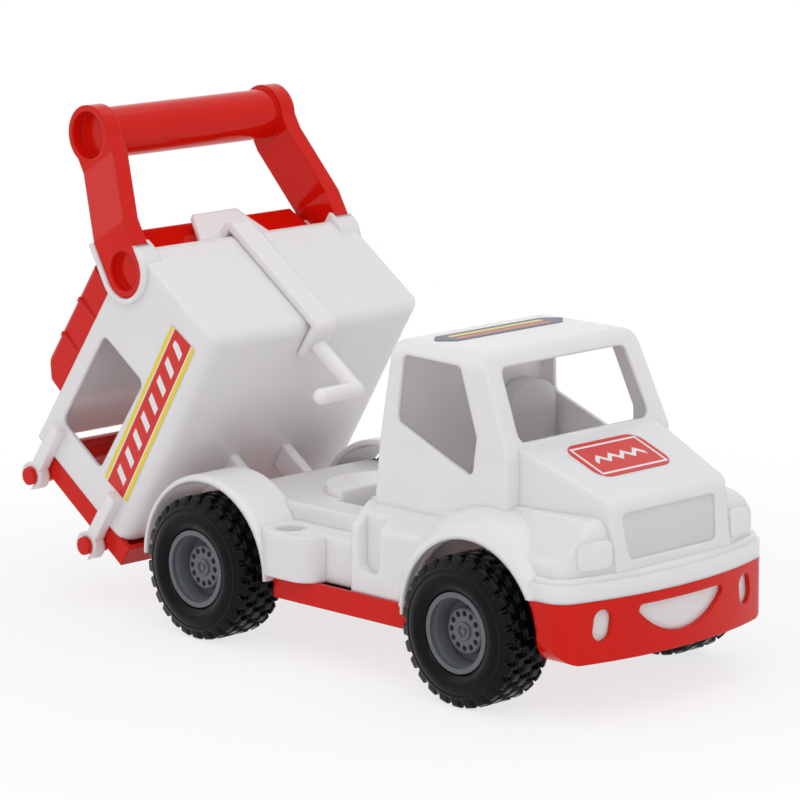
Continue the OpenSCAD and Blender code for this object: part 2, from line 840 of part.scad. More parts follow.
module bed_shell() {
    color(WHITE) on_bed() {
        difference() {
            union() {
                difference() {
                    bed_volume(0);
                    bed_volume(bed_wall);
                    across(-bed_w, bed_w) rounded_rect(23 - bed_l, bed_h - 54, 95 - bed_l, bed_h - 11, 5);
                }
                both_sides() across(pocket_in - bed_wall, arm_out + 1.5) socket_outline();
            }
            both_sides() across(pocket_in - seat_gap, bed_w) at_seat() stadium(2 * arm_l, pocket_r);
            both_sides() across(0, bed_w) at_seat() circle(stub_r + seat_gap);
        }
        both_sides() across(bed_half - 0.5, bed_half + clip_t) clip_outline();
        hinge_lugs();
    }
}

module bed_roof_volume(inset) {
    z0 = bed_h + seat_gap;
    top = z0 + roof_h - inset;
    intersection() {
        across(-bed_w, bed_w) polygon([
            [-12 - inset, z0 - (inset > 0 ? 1 : 0)], [-16 - inset, top], [roof_rear_x + 11 + inset / 2, top],
            [roof_rear_x + inset, top - 11], [roof_rear_x + inset, z0 - (inset > 0 ? 1 : 0)]
        ]);
        along(-bed_l, 20) soft_polygon([
            [bed_half - 4 - inset, z0 - 12], [bed_half - 7 - inset, top],
            [inset - bed_half + 7, top], [inset - bed_half + 4, z0 - 12]
        ], 5);
    }
}

module bed_roof() {
    color(RED) on_bed() difference() {
        union() {
            difference() {
                bed_roof_volume(0);
                bed_roof_volume(2.4);
            }
            for (share = rib_shares) both_sides()
                translate([
                    roof_rear_x + share * (notch_x - roof_rear_x), bed_half - 16, bed_h + seat_gap + 3
                ])
                    cube([3, 11, roof_h - 6]);
        }
        both_sides() translate([notch_x, stub_in - seat_gap, bed_h - 1])
            cube([bed_half, bed_half, roof_h + 10]);
    }
}

// Flat arm, bent inwards at the crease, with a round eye at each end
module handle_arm() {
    eye_out = grip_w / 2;
    eye_in = eye_out - arm_t;
    difference() {
        union() {
            intersection() {
                across(0, bed_w) at_seat() union() {
                    stadium(arm_l, arm_w / 2);
                    translate([arm_l, 0]) circle(eye_r);
                }
                translate([pivot_x, 0, pivot_z]) rotate([0, -arm_angle, 0]) linear_extrude(2 * arm_w, center = true)
                    polygon([
                        [-arm_w, pocket_in], [crease_l, pocket_in], [arm_l - eye_r, eye_in], [arm_l + arm_w, eye_in],
                        [arm_l + arm_w, eye_out], [arm_l - eye_r, eye_out], [crease_l, arm_out], [-arm_w, arm_out]
                    ]);
            }
            across(stub_in, pocket_in + 1) at_seat() circle(stub_r);
        }
        across(arm_out - 5, bed_w) at_seat() circle(arm_w / 2 - 4);
        across(eye_out - 8, bed_w) at_seat() translate([arm_l, 0]) circle(eye_r - 3.5);
    }
}

module handle() {
    reach = grip_w / 2 - arm_t + 1;
    color(RED) on_bed() {
        both_sides() handle_arm();
        across(-reach, reach) at_seat() translate([arm_l, 0]) difference() {
            circle(grip_d / 2);
            circle(grip_d / 2 - 3);
        }
    }
}

module latch_strap() {
    w = 17;
    t = 5;
    foot_l = 22;
    dip = bed_drop * foot_l / bed_l + seat_gap;
    peg_x = -12;
    peg_r = 5;
    peg_z = -hook_l;
    color(WHITE) on_bed() {
        across(-w / 2, w / 2) difference() {
            rounded_rect(-foot_l, -t - dip, t + seat_gap, bed_h + t, t);
            translate([-bed_l, -dip]) square([bed_l + seat_gap, bed_h + seat_gap + dip]);
            translate([-bed_l - 9, bed_h]) square([bed_l, bed_h]);
        }
        along(-9, -5.5) polygon([
            [-28, bed_h + seat_gap], [28, bed_h + seat_gap], [18, bed_h + 23], [-18, bed_h + 23]
        ]);
        translate([peg_x, 0, peg_z]) cylinder(h = -peg_z - t, r = peg_r);
        translate([peg_x, 0, peg_z]) sphere(peg_r);
        translate([peg_x, 0, peg_z]) rotate([90, 0, 0]) cylinder(h = hook_reach, r = peg_r);
        translate([peg_x, -hook_reach, peg_z]) sphere(peg_r);
    }
}

module gate_profile() {
    top = bed_h - 5;
    reach = gate_x - gate_pin_x - 0.4;
    intersection() {
        translate([gate_x - gate_t, -bed_drop - 6]) square([gate_t, top + bed_drop + 6]);
        union() {
            translate([gate_pin_x - 30, -bed_drop - 10]) square([60, gate_pin_z[0] + bed_drop + 10]);
            translate([gate_pin_x, gate_pin_z[0]]) circle(reach, $fn = 96);
        }
    }
}

module tailgate() {
    half = bed_half - 1.5;
    color(RED) on_bed() {
        difference() {
            across(-half, half) gate_profile();
            along(gate_x - gate_t - 1, gate_x + 1) rounded_rect(26 - bed_half, 14, bed_half - 26, bed_h - 24, 6);
            translate([gate_x - gate_t + 3, -half + 3, -bed_drop - 3])
                cube([gate_t, 2 * half - 6, 14]);
        }
        for (z = gate_pin_z) both_sides() {
            across(half - 6, half + clip_t + 4) translate([gate_pin_x, z]) circle(gate_pin_d / 2);
            across(half - 6, half) translate([gate_pin_x, z - 5]) square([8, 10]);
        }
    }
}

// Self-adhesive labels
label_t = 0.3;

module side_label(side) {
    slope = atan(bed_drop / bed_l);
    color(RED) on_bed() rotate([0, -slope, 0]) across(
        side > 0 ? bed_half : -bed_half - label_t,
        side > 0 ? bed_half + label_t : -bed_half
    ) rounded_rect(24 - bed_l, 9.5, -14, 33, 1);
}

module label_right() { side_label(-1); }
module label_left() { side_label(1); }

module label_roof() {
    mid = cab_rear_x + 39;
    half = roof_w / 2 - 9;
    color(SLATE) seat_on_origin() translate([0, 0, roof_z]) linear_extrude(label_t) soft_polygon([
        [mid, -half], [mid + 9, 10 - half], [mid + 9, half - 10],
        [mid, half], [mid - 9, half - 10], [mid - 9, 10 - half]
    ], 2);
}

module label_hood() {
    slope = atan2(hood_front_z - screen_foot_z, hood_front_x - screen_foot_x);
    color(RED) seat_on_origin() translate([screen_foot_x, 0, screen_foot_z]) rotate([0, -slope, 0])
        translate([27, 0, 0]) linear_extrude(label_t) rounded_rect(-17, -30, 17, 30, 9);
}

chassis();
body_shell();
seat();
front_axle();
rear_axle();
tyre_front_right();
tyre_front_left();
tyre_rear_right();
tyre_rear_left();
rim_front_right();
rim_front_left();
rim_rear_right();
rim_rear_left();
hinge_rod();
chassis_screws();
bed_shell();
bed_roof();
handle();
latch_strap();
tailgate();
label_right();
label_left();
label_roof();
label_hood();
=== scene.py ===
"""Dressing of a toy ambulance truck: moulded finishes, treaded tyres, printed labels and the studio."""

import json
import math

import bpy
import numpy as np
from mathutils import Matrix, Vector


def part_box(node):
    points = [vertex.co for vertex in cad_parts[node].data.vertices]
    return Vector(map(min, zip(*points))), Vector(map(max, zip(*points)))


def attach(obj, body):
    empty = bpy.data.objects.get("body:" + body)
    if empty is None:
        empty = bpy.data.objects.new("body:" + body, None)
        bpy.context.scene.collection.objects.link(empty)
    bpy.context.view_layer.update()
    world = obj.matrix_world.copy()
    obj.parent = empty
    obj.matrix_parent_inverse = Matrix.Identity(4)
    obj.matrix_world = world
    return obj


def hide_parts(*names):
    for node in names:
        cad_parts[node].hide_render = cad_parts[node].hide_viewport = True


bl_info = {
    "name": "Toy Ambulance Dressing",
    "version": (1, 0, 0),
    "blender": (4, 5, 0),
    "location": "3D View > Sidebar > Toy Truck",
    "description": "Finishes, tyres, labels and studio for a toy ambulance truck",
    "category": "Object",
}

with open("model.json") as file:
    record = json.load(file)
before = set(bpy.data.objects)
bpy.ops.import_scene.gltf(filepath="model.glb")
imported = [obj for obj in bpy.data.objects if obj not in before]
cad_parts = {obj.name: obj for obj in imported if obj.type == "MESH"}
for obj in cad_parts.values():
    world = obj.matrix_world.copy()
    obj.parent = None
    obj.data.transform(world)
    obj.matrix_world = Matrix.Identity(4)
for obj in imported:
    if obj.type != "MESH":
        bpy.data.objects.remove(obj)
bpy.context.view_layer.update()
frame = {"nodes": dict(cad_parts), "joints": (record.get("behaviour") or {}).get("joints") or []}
MM = 0.001

# Places and sizes from the part's own solids, in metres
REAR_AXLE_X = sum(corner[0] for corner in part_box("rear_axle")) / 2
FRONT_AXLE_X = sum(corner[0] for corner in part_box("front_axle")) / 2
AXLE_Z = sum(corner[2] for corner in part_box("rear_axle")) / 2
BEAD_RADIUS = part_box("rim_front_right")[1][2] - AXLE_Z
TYRE_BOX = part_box("tyre_front_right")
TYRE_RADIUS = round(TYRE_BOX[1][2] - AXLE_Z, 6)
TYRE_WIDTH = round(TYRE_BOX[1][1] - TYRE_BOX[0][1], 6)
TYRES = {
    "tyre_front_right": ("front_wheelset", FRONT_AXLE_X, -1),
    "tyre_front_left": ("front_wheelset", FRONT_AXLE_X, 1),
    "tyre_rear_right": ("rear_wheelset", REAR_AXLE_X, -1),
    "tyre_rear_left": ("rear_wheelset", REAR_AXLE_X, 1),
}

# Half of the tyre's profile in millimetres, from bead to crown: the inset from the sidewall's plane, with
# the height over the bead for the sidewall and over the carcass for the shoulder
SIDEWALL = ((6.0, 0.0), (2.8, 0.8), (1.3, 2.4), (0.3, 4.6), (0.0, 6.8), (0.4, 9.4), (1.4, 12.0), (1.1, 12.8))
SHOULDER = ((2.2, -2.6), (4.0, -0.8), (7.0, 0.0))
CROWN_RISE = 0.5
PROFILE_STEPS = 150
STEPS_PER_LUG = 18

# Rows of tread blocks: middle and half spread as shares of the width, stagger in pitches, share of a pitch
TREAD_ROWS = (
    (0.10, 0.080, 0.0, 0.70),
    (0.30, 0.075, 0.5, 0.62),
    (0.50, 0.080, 0.0, 0.62),
    (0.70, 0.075, 0.5, 0.62),
    (0.90, 0.080, 0.0, 0.70),
)
BLOCK_EDGE = 1.6 * MM
TREAD_START = 3.6 * MM
TREAD_FADE = 2.4 * MM

# The tipping box at rest: its angle, and its hinge and side labels in its own millimetres
TIP = 55.0
HINGE_IN_BED = (-108.0, -36.7)
BED_LENGTH = 157.0
BED_DROP = 8.0
LABEL_X = (24.0 - BED_LENGTH, -14.0)
LABEL_FOOT_Z = 9.5
LABEL_SLOPE = math.degrees(math.atan(BED_DROP / BED_LENGTH))

# Labels in millimetres, along and up
SIDE_LABEL = (LABEL_X[1] - LABEL_X[0], 23.5)
HOOD_LABEL = (60.0, 34.0)
ROOF_LABEL_LENGTH = 104.0

# Places of the sockets of a Mix node that mixes colours
MIX_A, MIX_B, MIX_RESULT = 6, 7, 2

# Studio: lamps as name, place and size in metres, power in watts
LAMPS = (
    ("key", (0.9, -0.9, 1.5), 1.2, 5.5),
    ("fill", (-1.3, -1.2, 0.9), 1.4, 2),
    ("top", (0.1, 0.3, 1.9), 1.6, 4),
)
LAMP_AIM = (0, 0, 0.12)
FLOOR_HALF = 3
FLOOR_STEPS = 7

# Camera fitted to the picture: angles in degrees, focal length in pixels, distances in metres
CAMERA_ANGLES = (45.372, 11.18, -0.203)
FOCAL_PX = 4058.3
PICTURE_PX = 800
SENSOR_MM = 36
CAMERA_DISTANCE = 2.3805
CAMERA_TARGET = (REAR_AXLE_X + 0.07397, 0, 0.14076)


class TruckSizes(bpy.types.PropertyGroup):
    """Sizes of the dressed pieces."""

    tyre_radius: bpy.props.FloatProperty(
        name="Tyre radius", description="Radius over the lugs", default=TYRE_RADIUS, unit="LENGTH"
    )
    tyre_width: bpy.props.FloatProperty(
        name="Tyre width", description="Width over both sidewalls", default=TYRE_WIDTH, unit="LENGTH"
    )
    tread_depth: bpy.props.FloatProperty(
        name="Tread depth", description="Height of the lugs over the carcass", default=0.0030, unit="LENGTH"
    )
    lugs: bpy.props.IntProperty(name="Lugs", description="Lugs round one row", default=26)
    edge_radius: bpy.props.FloatProperty(
        name="Edge radius", description="Softness of moulded edges", default=0.0022, unit="LENGTH"
    )


class TruckColours(bpy.types.PropertyGroup):
    """Colours as sRGB hex."""

    white: bpy.props.StringProperty(name="White", description="Body plastic", default="#F2F0F2")
    red: bpy.props.StringProperty(name="Red", description="Tray, handle and tailgate", default="#DC1608")
    tyre: bpy.props.StringProperty(name="Tyre", description="Tyre plastic", default="#060606")
    rim: bpy.props.StringProperty(name="Rim", description="Wheel centre plastic", default="#63666D")
    yellow: bpy.props.StringProperty(name="Yellow", description="Label edge and stripe", default="#F2DC3C")
    slate: bpy.props.StringProperty(name="Slate", description="Roof strip", default="#3A4560")
    orange: bpy.props.StringProperty(name="Orange", description="Roof strip stripe", default="#E2582E")
    steel_dark: bpy.props.StringProperty(
        name="Dark steel", description="Darker steel tone", default="#B2B4B9"
    )
    steel_light: bpy.props.StringProperty(
        name="Light steel", description="Lighter steel tone", default="#C0C2C5"
    )
    floor: bpy.props.StringProperty(name="Floor", description="Studio floor", default="#FFFFFF")


def linear(hex_colour):
    """sRGB hex to linear RGBA: c/12.92 up to 0.04045, otherwise ((c + 0.055)/1.055)^2.4."""
    c = np.array([int(hex_colour[i : i + 2], 16) for i in (1, 3, 5)]) / 255
    return (*np.where(c <= 0.04045, c / 12.92, ((c + 0.055) / 1.055) ** 2.4), 1.0)


def node(tree, kind, links=(), **values):
    """Adds one node; values go to its settings or sockets, links are (socket here, output there)."""
    made = tree.nodes.new(kind)
    for key, value in values.items():
        if hasattr(made, key):
            setattr(made, key, value)
        else:
            made.inputs[key.replace("_", " ")].default_value = value
    for socket, output in links:
        tree.links.new(output, made.inputs[socket])
    return made


def new_material(name):
    """An empty node material and its tree, with the shader at its end."""
    material = bpy.data.materials.new(name)
    material.use_nodes = True
    tree = material.node_tree
    tree.nodes.clear()
    shader = node(tree, "ShaderNodeBsdfPrincipled")
    node(tree, "ShaderNodeOutputMaterial", [("Surface", shader.outputs[0])])
    return material, tree, shader


def grained(tree, shader, place, size, low, high, detail=2.0):
    """Lets the roughness wander from low to high over grains of one size in metres; gives the grain."""
    grain = node(tree, "ShaderNodeTexNoise", [("Vector", place)], Scale=1 / size, Detail=detail)
    gloss = node(tree, "ShaderNodeMapRange", [("Value", grain.outputs["Fac"])], To_Min=low, To_Max=high)
    tree.links.new(gloss.outputs[0], shader.inputs["Roughness"])
    return grain.outputs["Fac"]


def toned(tree, shader, pattern, dark, light):
    """Lets the base colour wander between two linear colours as the pattern goes from 0 to 1."""
    tone = node(tree, "ShaderNodeMix", [("Factor", pattern)], data_type="RGBA")
    tone.inputs[MIX_A].default_value = dark
    tone.inputs[MIX_B].default_value = light
    tree.links.new(tone.outputs[MIX_RESULT], shader.inputs["Base Color"])


def moulded(name, colour, roughness, radius, specular=0.5, milky=0.0, grain_mm=1.2, grain=0.04):
    """Injection-moulded plastic: even colour with faint flow shading, soft edges and a fine skin.

    Flow clouds are about 60 mm wide. A mould's own skin is finer than grain_mm, which is as coarse as the
    render needs to show it.
    """
    material, tree, shader = new_material(name)
    place = node(tree, "ShaderNodeTexCoord").outputs["Object"]
    flow = node(tree, "ShaderNodeTexNoise", [("Vector", place)], Scale=1 / (60 * MM), Detail=2.0)
    base = np.array(linear(colour)[:3])
    dark, light = base * 0.965, np.minimum(base * 1.03, 1)
    toned(tree, shader, flow.outputs["Fac"], (*dark, 1), (*light, 1))
    skin = grained(tree, shader, place, grain_mm * MM, roughness * 0.9, roughness * 1.12, detail=3.0)
    edge = node(tree, "ShaderNodeBevel", samples=6, Radius=radius)
    bump = node(
        tree, "ShaderNodeBump", [("Height", skin), ("Normal", edge.outputs[0])],
        Strength=grain, Distance=0.1 * MM,
    )
    tree.links.new(bump.outputs[0], shader.inputs["Normal"])
    shader.inputs["IOR"].default_value = 1.49
    shader.inputs["Specular IOR Level"].default_value = specular
    if milky:
        shader.inputs["Subsurface Weight"].default_value = milky
        shader.inputs["Subsurface Radius"].default_value = (1.0, 0.92, 0.86)
        shader.inputs["Subsurface Scale"].default_value = 4.0 * MM
    return material


def drawn_steel(colours):
    """Bright drawn steel: a soft metal gleam with 1 mm mottling, coarser than real so that it shows."""
    material, tree, shader = new_material("steel rod, bright drawn")
    place = node(tree, "ShaderNodeTexCoord").outputs["Object"]
    mottle = grained(tree, shader, place, MM, 0.25, 0.4)
    toned(tree, shader, mottle, linear(colours.steel_dark), linear(colours.steel_light))
    shader.inputs["Metallic"].default_value = 1.0
    return material


def dress(names, material):
    """Gives CAD nodes one material."""
    for name in names:
        slots = frame["nodes"][name].data.materials
        slots.clear()
        slots.append(material)


def grid_mesh(name, points, closed_u=False, closed_v=False):
    """Mesh of a grid of points (rows, columns, 3); closed directions join the last line to the first."""
    rows, columns = points.shape[:2]
    index = np.arange(rows * columns).reshape(rows, columns)
    i = np.arange(rows if closed_u else rows - 1)
    j = np.arange(columns if closed_v else columns - 1)
    a, b = np.meshgrid(i, j, indexing="ij")
    c, d = (a + 1) % rows, (b + 1) % columns
    quads = np.stack([index[a, b], index[c, b], index[c, d], index[a, d]], axis=-1).reshape(-1, 4)
    mesh = bpy.data.meshes.new(name)
    mesh.vertices.add(rows * columns)
    mesh.vertices.foreach_set("co", points.reshape(-1).astype(np.float32))
    mesh.loops.add(quads.size)
    mesh.loops.foreach_set("vertex_index", quads.reshape(-1).astype(np.int32))
    mesh.polygons.add(len(quads))
    mesh.polygons.foreach_set("loop_start", np.arange(0, quads.size, 4, dtype=np.int32))
    mesh.update(calc_edges=True)
    mesh.validate()
    mesh.polygons.foreach_set("use_smooth", np.ones(len(mesh.polygons), dtype=bool))
    piece = bpy.data.objects.new(name, mesh)
    bpy.context.scene.collection.objects.link(piece)
    return piece


def smooth_step(x):
    """0 below 0, 1 above 1 and 3x^2 - 2x^3 between."""
    x = np.clip(x, 0, 1)
    return x * x * (3 - 2 * x)


def tyre_surface(radius, width, depth, lugs):
    """Tyre as the distance from its outer sidewall, the radius over (profile, angle), and the angle.

    The carcass is a rounded profile turned round the axle. Rows of blocks stand on the tread: a block is
    the product of two smooth steps, one along the angle and one across the width, and rows are staggered
    by half a pitch.
    """
    base = radius - depth
    sidewall = np.array(SIDEWALL) * MM + (0, BEAD_RADIUS)
    shoulder = np.array(SHOULDER) * MM + (0, base)
    half = np.vstack([sidewall, shoulder, (width / 2, base + CROWN_RISE * MM)])
    other = half[-2::-1].copy()
    other[:, 0] = width - other[:, 0]
    line = np.vstack([half, other])
    reach = np.concatenate([[0], np.cumsum(np.linalg.norm(np.diff(line, axis=0), axis=1))])
    t = np.linspace(0, reach[-1], PROFILE_STEPS)
    across = np.interp(t, reach, line[:, 0])
    height = np.interp(t, reach, line[:, 1])
    angle = np.arange(lugs * STEPS_PER_LUG) * 2 * math.pi / (lugs * STEPS_PER_LUG)
    pitch = 2 * math.pi / lugs
    lift = np.zeros((len(t), len(angle)))
    for middle, spread, phase, share in TREAD_ROWS:
        side = smooth_step((spread * width - np.abs(across - middle * width)) / BLOCK_EDGE + 0.5)
        turn = np.abs((angle / pitch + phase) % 1 - 0.5) * pitch * radius
        block = smooth_step((share * pitch * radius / 2 - turn) / BLOCK_EDGE + 0.5)
        lift = np.maximum(lift, side[:, None] * block[None, :])
    crown = smooth_step((height - base + TREAD_START) / TREAD_FADE)
    rho = height[:, None] + depth * lift * crown[:, None]
    return across, np.minimum(rho, radius), angle


def make_tyre(name, body, x, side, sizes):
    """Places the tyre surface on its wheel; the profile closes through the bead."""
    across, rho, angle = tyre_surface(sizes.tyre_radius, sizes.tyre_width, sizes.tread_depth, sizes.lugs)
    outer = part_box(name)[0][1] if side < 0 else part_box(name)[1][1]
    y = np.broadcast_to((outer - side * across)[:, None], rho.shape)
    points = np.stack([x + rho * np.cos(angle), y, AXLE_Z + rho * np.sin(angle)], axis=-1)
    points = points[:, ::-1] if side > 0 else points
    piece = grid_mesh("tread_" + name, points, closed_u=True, closed_v=True)
    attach(piece, body)
    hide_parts(name)
    return piece


class OBJECT_OT_truck_shell(bpy.types.Operator):
    """Gives the white moulded pieces their finish."""

    bl_idname = "object.truck_shell"
    bl_label = "White shell"

    def execute(self, context):
        sizes, colours = context.scene.truck_sizes, context.scene.truck_colours
        # Polypropylene from a polished mould: glossy, a little milky in thin walls
        finish = moulded(
            "polypropylene white, gloss moulded", colours.white, 0.22, sizes.edge_radius, milky=0.85
        )
        dress(["body_shell", "seat", "bed_shell", "latch_strap"], finish)
        return {"FINISHED"}


class OBJECT_OT_truck_red(bpy.types.Operator):
    """Gives the red moulded pieces their finish."""

    bl_idname = "object.truck_red"
    bl_label = "Red mouldings"

    def execute(self, context):
        sizes, colours = context.scene.truck_sizes, context.scene.truck_colours
        # Polypropylene dyed through: deep even red with clear highlights and tighter edges than the shell
        finish = moulded(
            "polypropylene red, gloss moulded", colours.red, 0.12, sizes.edge_radius * 0.7, specular=0.18
        )
        dress(["chassis", "bed_roof", "handle", "tailgate"], finish)
        return {"FINISHED"}


class OBJECT_OT_truck_wheels(bpy.types.Operator):
    """Builds the treaded tyres and finishes rims, rods and screws."""

    bl_idname = "object.truck_wheels"
    bl_label = "Wheels"

    def execute(self, context):
        sizes, colours = context.scene.truck_sizes, context.scene.truck_colours
        # Soft PVC: near black, with a weak sheen broken up by a fine skin
        rubber = moulded(
            "soft PVC black, satin moulded", colours.tyre, 0.2, 0.4 * MM,
            specular=0.14, grain_mm=0.8, grain=0.12,
        )
        # ABS: mid grey, with broad soft highlights
        grey = moulded("ABS grey, satin moulded", colours.rim, 0.38, 0.6 * MM)
        for name, (body, x, side) in TYRES.items():
            make_tyre(name, body, x, side, sizes).data.materials.append(rubber)
        dress([name.replace("tyre", "rim") for name in TYRES], grey)
        dress(["front_axle", "rear_axle", "hinge_rod", "chassis_screws"], drawn_steel(colours))
        return {"FINISHED"}


def band(tree, value, low, high, within=None, soft=0.15):
    """1 where value lies between low and high, in millimetres, inside the mask within.

    It is the product of that mask, a smooth step up at low and a smooth step down at high; an edge
    reaches soft to either side.
    """
    mask = within
    for edge, way in ((low, 1), (high, -1)):
        step = node(
            tree, "ShaderNodeMapRange", [("Value", value)], interpolation_type="SMOOTHSTEP",
            From_Min=edge - way * soft, From_Max=edge + way * soft,
        )
        if mask is None:
            mask = step.outputs[0]
        else:
            product = node(tree, "ShaderNodeMath", [(0, mask), (1, step.outputs[0])], operation="MULTIPLY")
            mask = product.outputs[0]
    return mask


def layer(tree, below, mask, colour):
    """Lays one printed colour over what is below where mask is 1."""
    mix = node(tree, "ShaderNodeMix", [("Factor", mask)], data_type="RGBA")
    if hasattr(below, "links"):
        tree.links.new(below, mix.inputs[MIX_A])
    else:
        mix.inputs[MIX_A].default_value = below
    mix.inputs[MIX_B].default_value = linear(colour)
    return mix.outputs[MIX_RESULT]


def film(name, origin, along, up):
    """Printed film: smooth semi-gloss, with millimetres along and up from origin as two values."""
    material, tree, shader = new_material(name)
    place = node(tree, "ShaderNodeTexCoord").outputs["Object"]
    offset = node(tree, "ShaderNodeVectorMath", [(0, place)], operation="SUBTRACT")
    offset.inputs[1].default_value = tuple(origin)
    sides = []
    for way in (along, up):
        dot = node(tree, "ShaderNodeVectorMath", [(0, offset.outputs[0])], operation="DOT_PRODUCT")
        dot.inputs[1].default_value = tuple(np.array(way) / MM)
        sides.append(dot.outputs["Value"])
    grained(tree, shader, place, 2 * MM, 0.26, 0.36)
    return material, tree, shader, *sides


def bed_point(x, z):
    """A point of the tipping box's side view, given in its own millimetres: x and z at rest, in metres."""
    hinge = next(joint for joint in frame["joints"] if joint["name"] == "bed_tip")["pos_m"]
    turn = math.radians(TIP)
    dx, dz = (x - HINGE_IN_BED[0]) * MM, (z - HINGE_IN_BED[1]) * MM
    return (
        hinge[0] + dx * math.cos(turn) - dz * math.sin(turn),
        hinge[2] + dx * math.sin(turn) + dz * math.cos(turn),
    )


def side_print(colours, *place):
    """Red band with yellow edges, white lines and slanted white bars.

    Bars repeat along u - v/2, so they lean; the edge strips are bands across v.
    """
    length, height = SIDE_LABEL
    pitch, bar, bar_height = 14.0, (3.0, 8.5), (7.2, 16.6)
    margin, over = 6, 1
    # Edge strips: where the lower one ends and where the upper one starts
    strips = ((3.6, 20.0, colours.white), (2.8, 20.8, colours.yellow))
    material, tree, shader, u, v = film("printed film, red band with bars", *place)
    lean = node(tree, "ShaderNodeMath", [(0, v), (2, u)], operation="MULTIPLY_ADD")
    lean.inputs[1].default_value = -0.5
    step = node(tree, "ShaderNodeMath", [(0, lean.outputs[0])], operation="WRAP")
    step.inputs[1].default_value = pitch
    step.inputs[2].default_value = 0.0
    bars = band(tree, step.outputs[0], *bar)
    bars = band(tree, v, *bar_height, within=bars)
    bars = band(tree, u, margin, length - margin, within=bars)
    ink = linear(colours.red)
    for lower_end, upper_start, paint in strips:
        ink = layer(tree, ink, band(tree, v, -over, lower_end), paint)
        ink = layer(tree, ink, band(tree, v, upper_start, height + over), paint)
    ink = layer(tree, ink, bars, colours.white)
    tree.links.new(ink, shader.inputs["Base Color"])
    return material


def roof_print(colours, *place):
    """Slate strip with two long stripes, one yellow and one orange."""
    margin = 14
    material, tree, shader, u, v = film("printed film, slate strip", *place)
    length = band(tree, u, margin, ROOF_LABEL_LENGTH - margin)
    ink = linear(colours.slate)
    for low, high, paint in ((4.0, 7.6, colours.orange), (10.4, 14.0, colours.yellow)):
        ink = layer(tree, ink, band(tree, v, low, high, within=length), paint)
    tree.links.new(ink, shader.inputs["Base Color"])
    return material


def hood_print(colours, *place):
    """Red plate with a white border line and a white zigzag across its middle.

    The zigzag is a ping-pong wave of u, printed where v lies within a line's height of the wave.
    """
    length, height = HOOD_LABEL
    border, border_end, zigzag_start = 3.0, 4.6, 10.0
    wave_height, line_height = 5.0, 3.6
    material, tree, shader, u, v = film("printed film, hood plate", *place)
    ink = linear(colours.red)
    for inset, paint in ((border, colours.white), (border_end, colours.red)):
        plate = band(tree, u, inset, length - inset)
        plate = band(tree, v, inset, height - inset, within=plate)
        ink = layer(tree, ink, plate, paint)
    wave = node(tree, "ShaderNodeMath", [(0, u)], operation="PINGPONG")
    wave.inputs[1].default_value = wave_height
    level = node(tree, "ShaderNodeMath", [(0, v), (1, wave.outputs[0])], operation="SUBTRACT")
    low = (height - wave_height - line_height) / 2
    line = band(tree, level.outputs[0], low, low + line_height)
    line = band(tree, u, zigzag_start, length - zigzag_start, within=line)
    ink = layer(tree, ink, line, colours.white)
    tree.links.new(ink, shader.inputs["Base Color"])
    return material


class OBJECT_OT_truck_labels(bpy.types.Operator):
    """Lays the printed labels on the box sides, the hood and the roof."""

    bl_idname = "object.truck_labels"
    bl_label = "Labels"

    def execute(self, context):
        colours = context.scene.truck_colours
        turn = math.radians(TIP + LABEL_SLOPE)
        slope = math.radians(LABEL_SLOPE)
        for name, side in (("label_right", -1), ("label_left", 1)):
            x, z = LABEL_X[0] if side < 0 else LABEL_X[1], LABEL_FOOT_Z
            spot = bed_point(
                x * math.cos(slope) - z * math.sin(slope), x * math.sin(slope) + z * math.cos(slope)
            )
            along = (-side * math.cos(turn), 0, -side * math.sin(turn))
            up = (-math.sin(turn), 0, math.cos(turn))
            dress([name], side_print(colours, (spot[0], 0, spot[1]), along, up))
        low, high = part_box("label_hood")
        fall = math.atan2(high[2] - low[2], high[0] - low[0])
        up = (-math.cos(fall), 0, math.sin(fall))
        dress(["label_hood"], hood_print(colours, (high[0], low[1], low[2]), (0, 1, 0), up))
        low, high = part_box("label_roof")
        dress(["label_roof"], roof_print(colours, (high[0], low[1], high[2]), (0, 1, 0), (-1, 0, 0)))
        return {"FINISHED"}


def background_rays(tree):
    """1 for rays that should meet the white background: seen directly, mirrored or through clear matter."""
    rays = node(tree, "ShaderNodeLightPath").outputs
    seen = rays["Is Camera Ray"]
    for other in ("Is Glossy Ray", "Is Transmission Ray"):
        seen = node(tree, "ShaderNodeMath", [(0, seen), (1, rays[other])], operation="MAXIMUM").outputs[0]
    return seen


